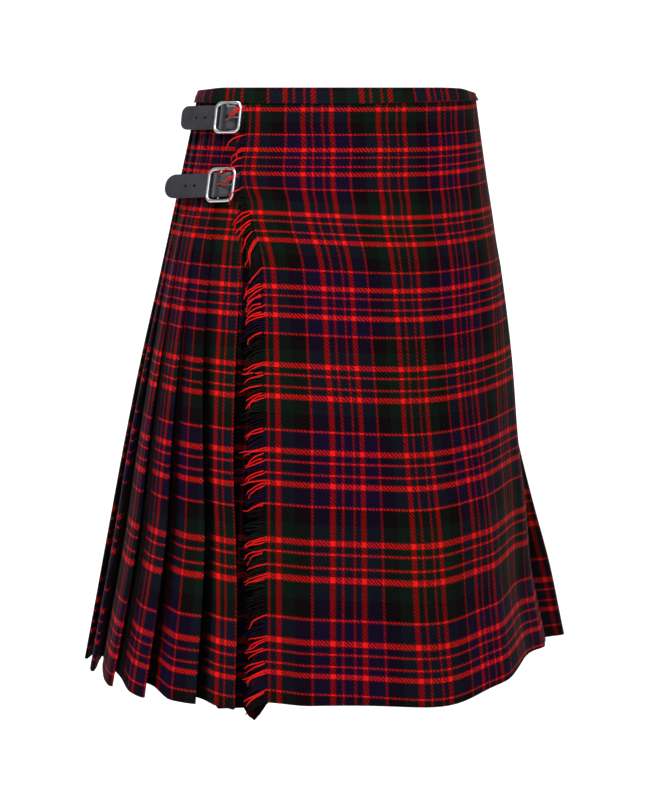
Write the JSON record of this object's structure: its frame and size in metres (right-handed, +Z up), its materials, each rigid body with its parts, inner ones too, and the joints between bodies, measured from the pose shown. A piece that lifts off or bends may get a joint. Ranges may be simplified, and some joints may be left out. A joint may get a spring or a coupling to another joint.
{
  "type": "scottish kilt",
  "caption": "Wrapped tartan kilt: flat fringed over apron, knife pleats round the back, waistband and buckled leather side straps",
  "frame": {"origin": "middle of the waist at the height of the upper strap, where the wearer holds the kilt", "axes": "+Z up toward the waist, -Y the apron side, +X the wearer's left"},
  "size_m": [0.5324, 0.4315, 0.6132],
  "materials": {
    "tartan_wool": "matt wool twill in red, green, navy and black tartan",
    "tartan_wool_right": "matt wool twill in red, green, navy and black tartan",
    "tartan_wool_over": "matt wool twill in red, green, navy and black tartan",
    "tartan_wool_under": "matt wool twill in red, green, navy and black tartan",
    "tartan_wool_band": "matt wool twill in red, green, navy and black tartan",
    "loose_yarn": "loose wool yarn",
    "upper_leather": "matt black leather",
    "upper_tab_leather": "matt black leather",
    "upper_chrome": "polished chrome",
    "upper_prong_chrome": "polished chrome",
    "lower_leather": "matt black leather",
    "lower_tab_leather": "matt black leather",
    "lower_chrome": "polished chrome",
    "lower_prong_chrome": "polished chrome"
  },
  "bodies": {
    "root": {"pleats_left": "tartan_wool", "pleats_right": "tartan_wool_right", "over_apron": "tartan_wool_over", "under_apron": "tartan_wool_under", "waistband": "tartan_wool_band", "fringe": "loose_yarn", "upper_strap": "upper_leather", "upper_tab": "upper_tab_leather", "upper_buckle": "upper_chrome", "upper_prong": "upper_prong_chrome", "lower_strap": "lower_leather", "lower_tab": "lower_tab_leather", "lower_buckle": "lower_chrome", "lower_prong": "lower_prong_chrome"}
  },
  "joints": []
}
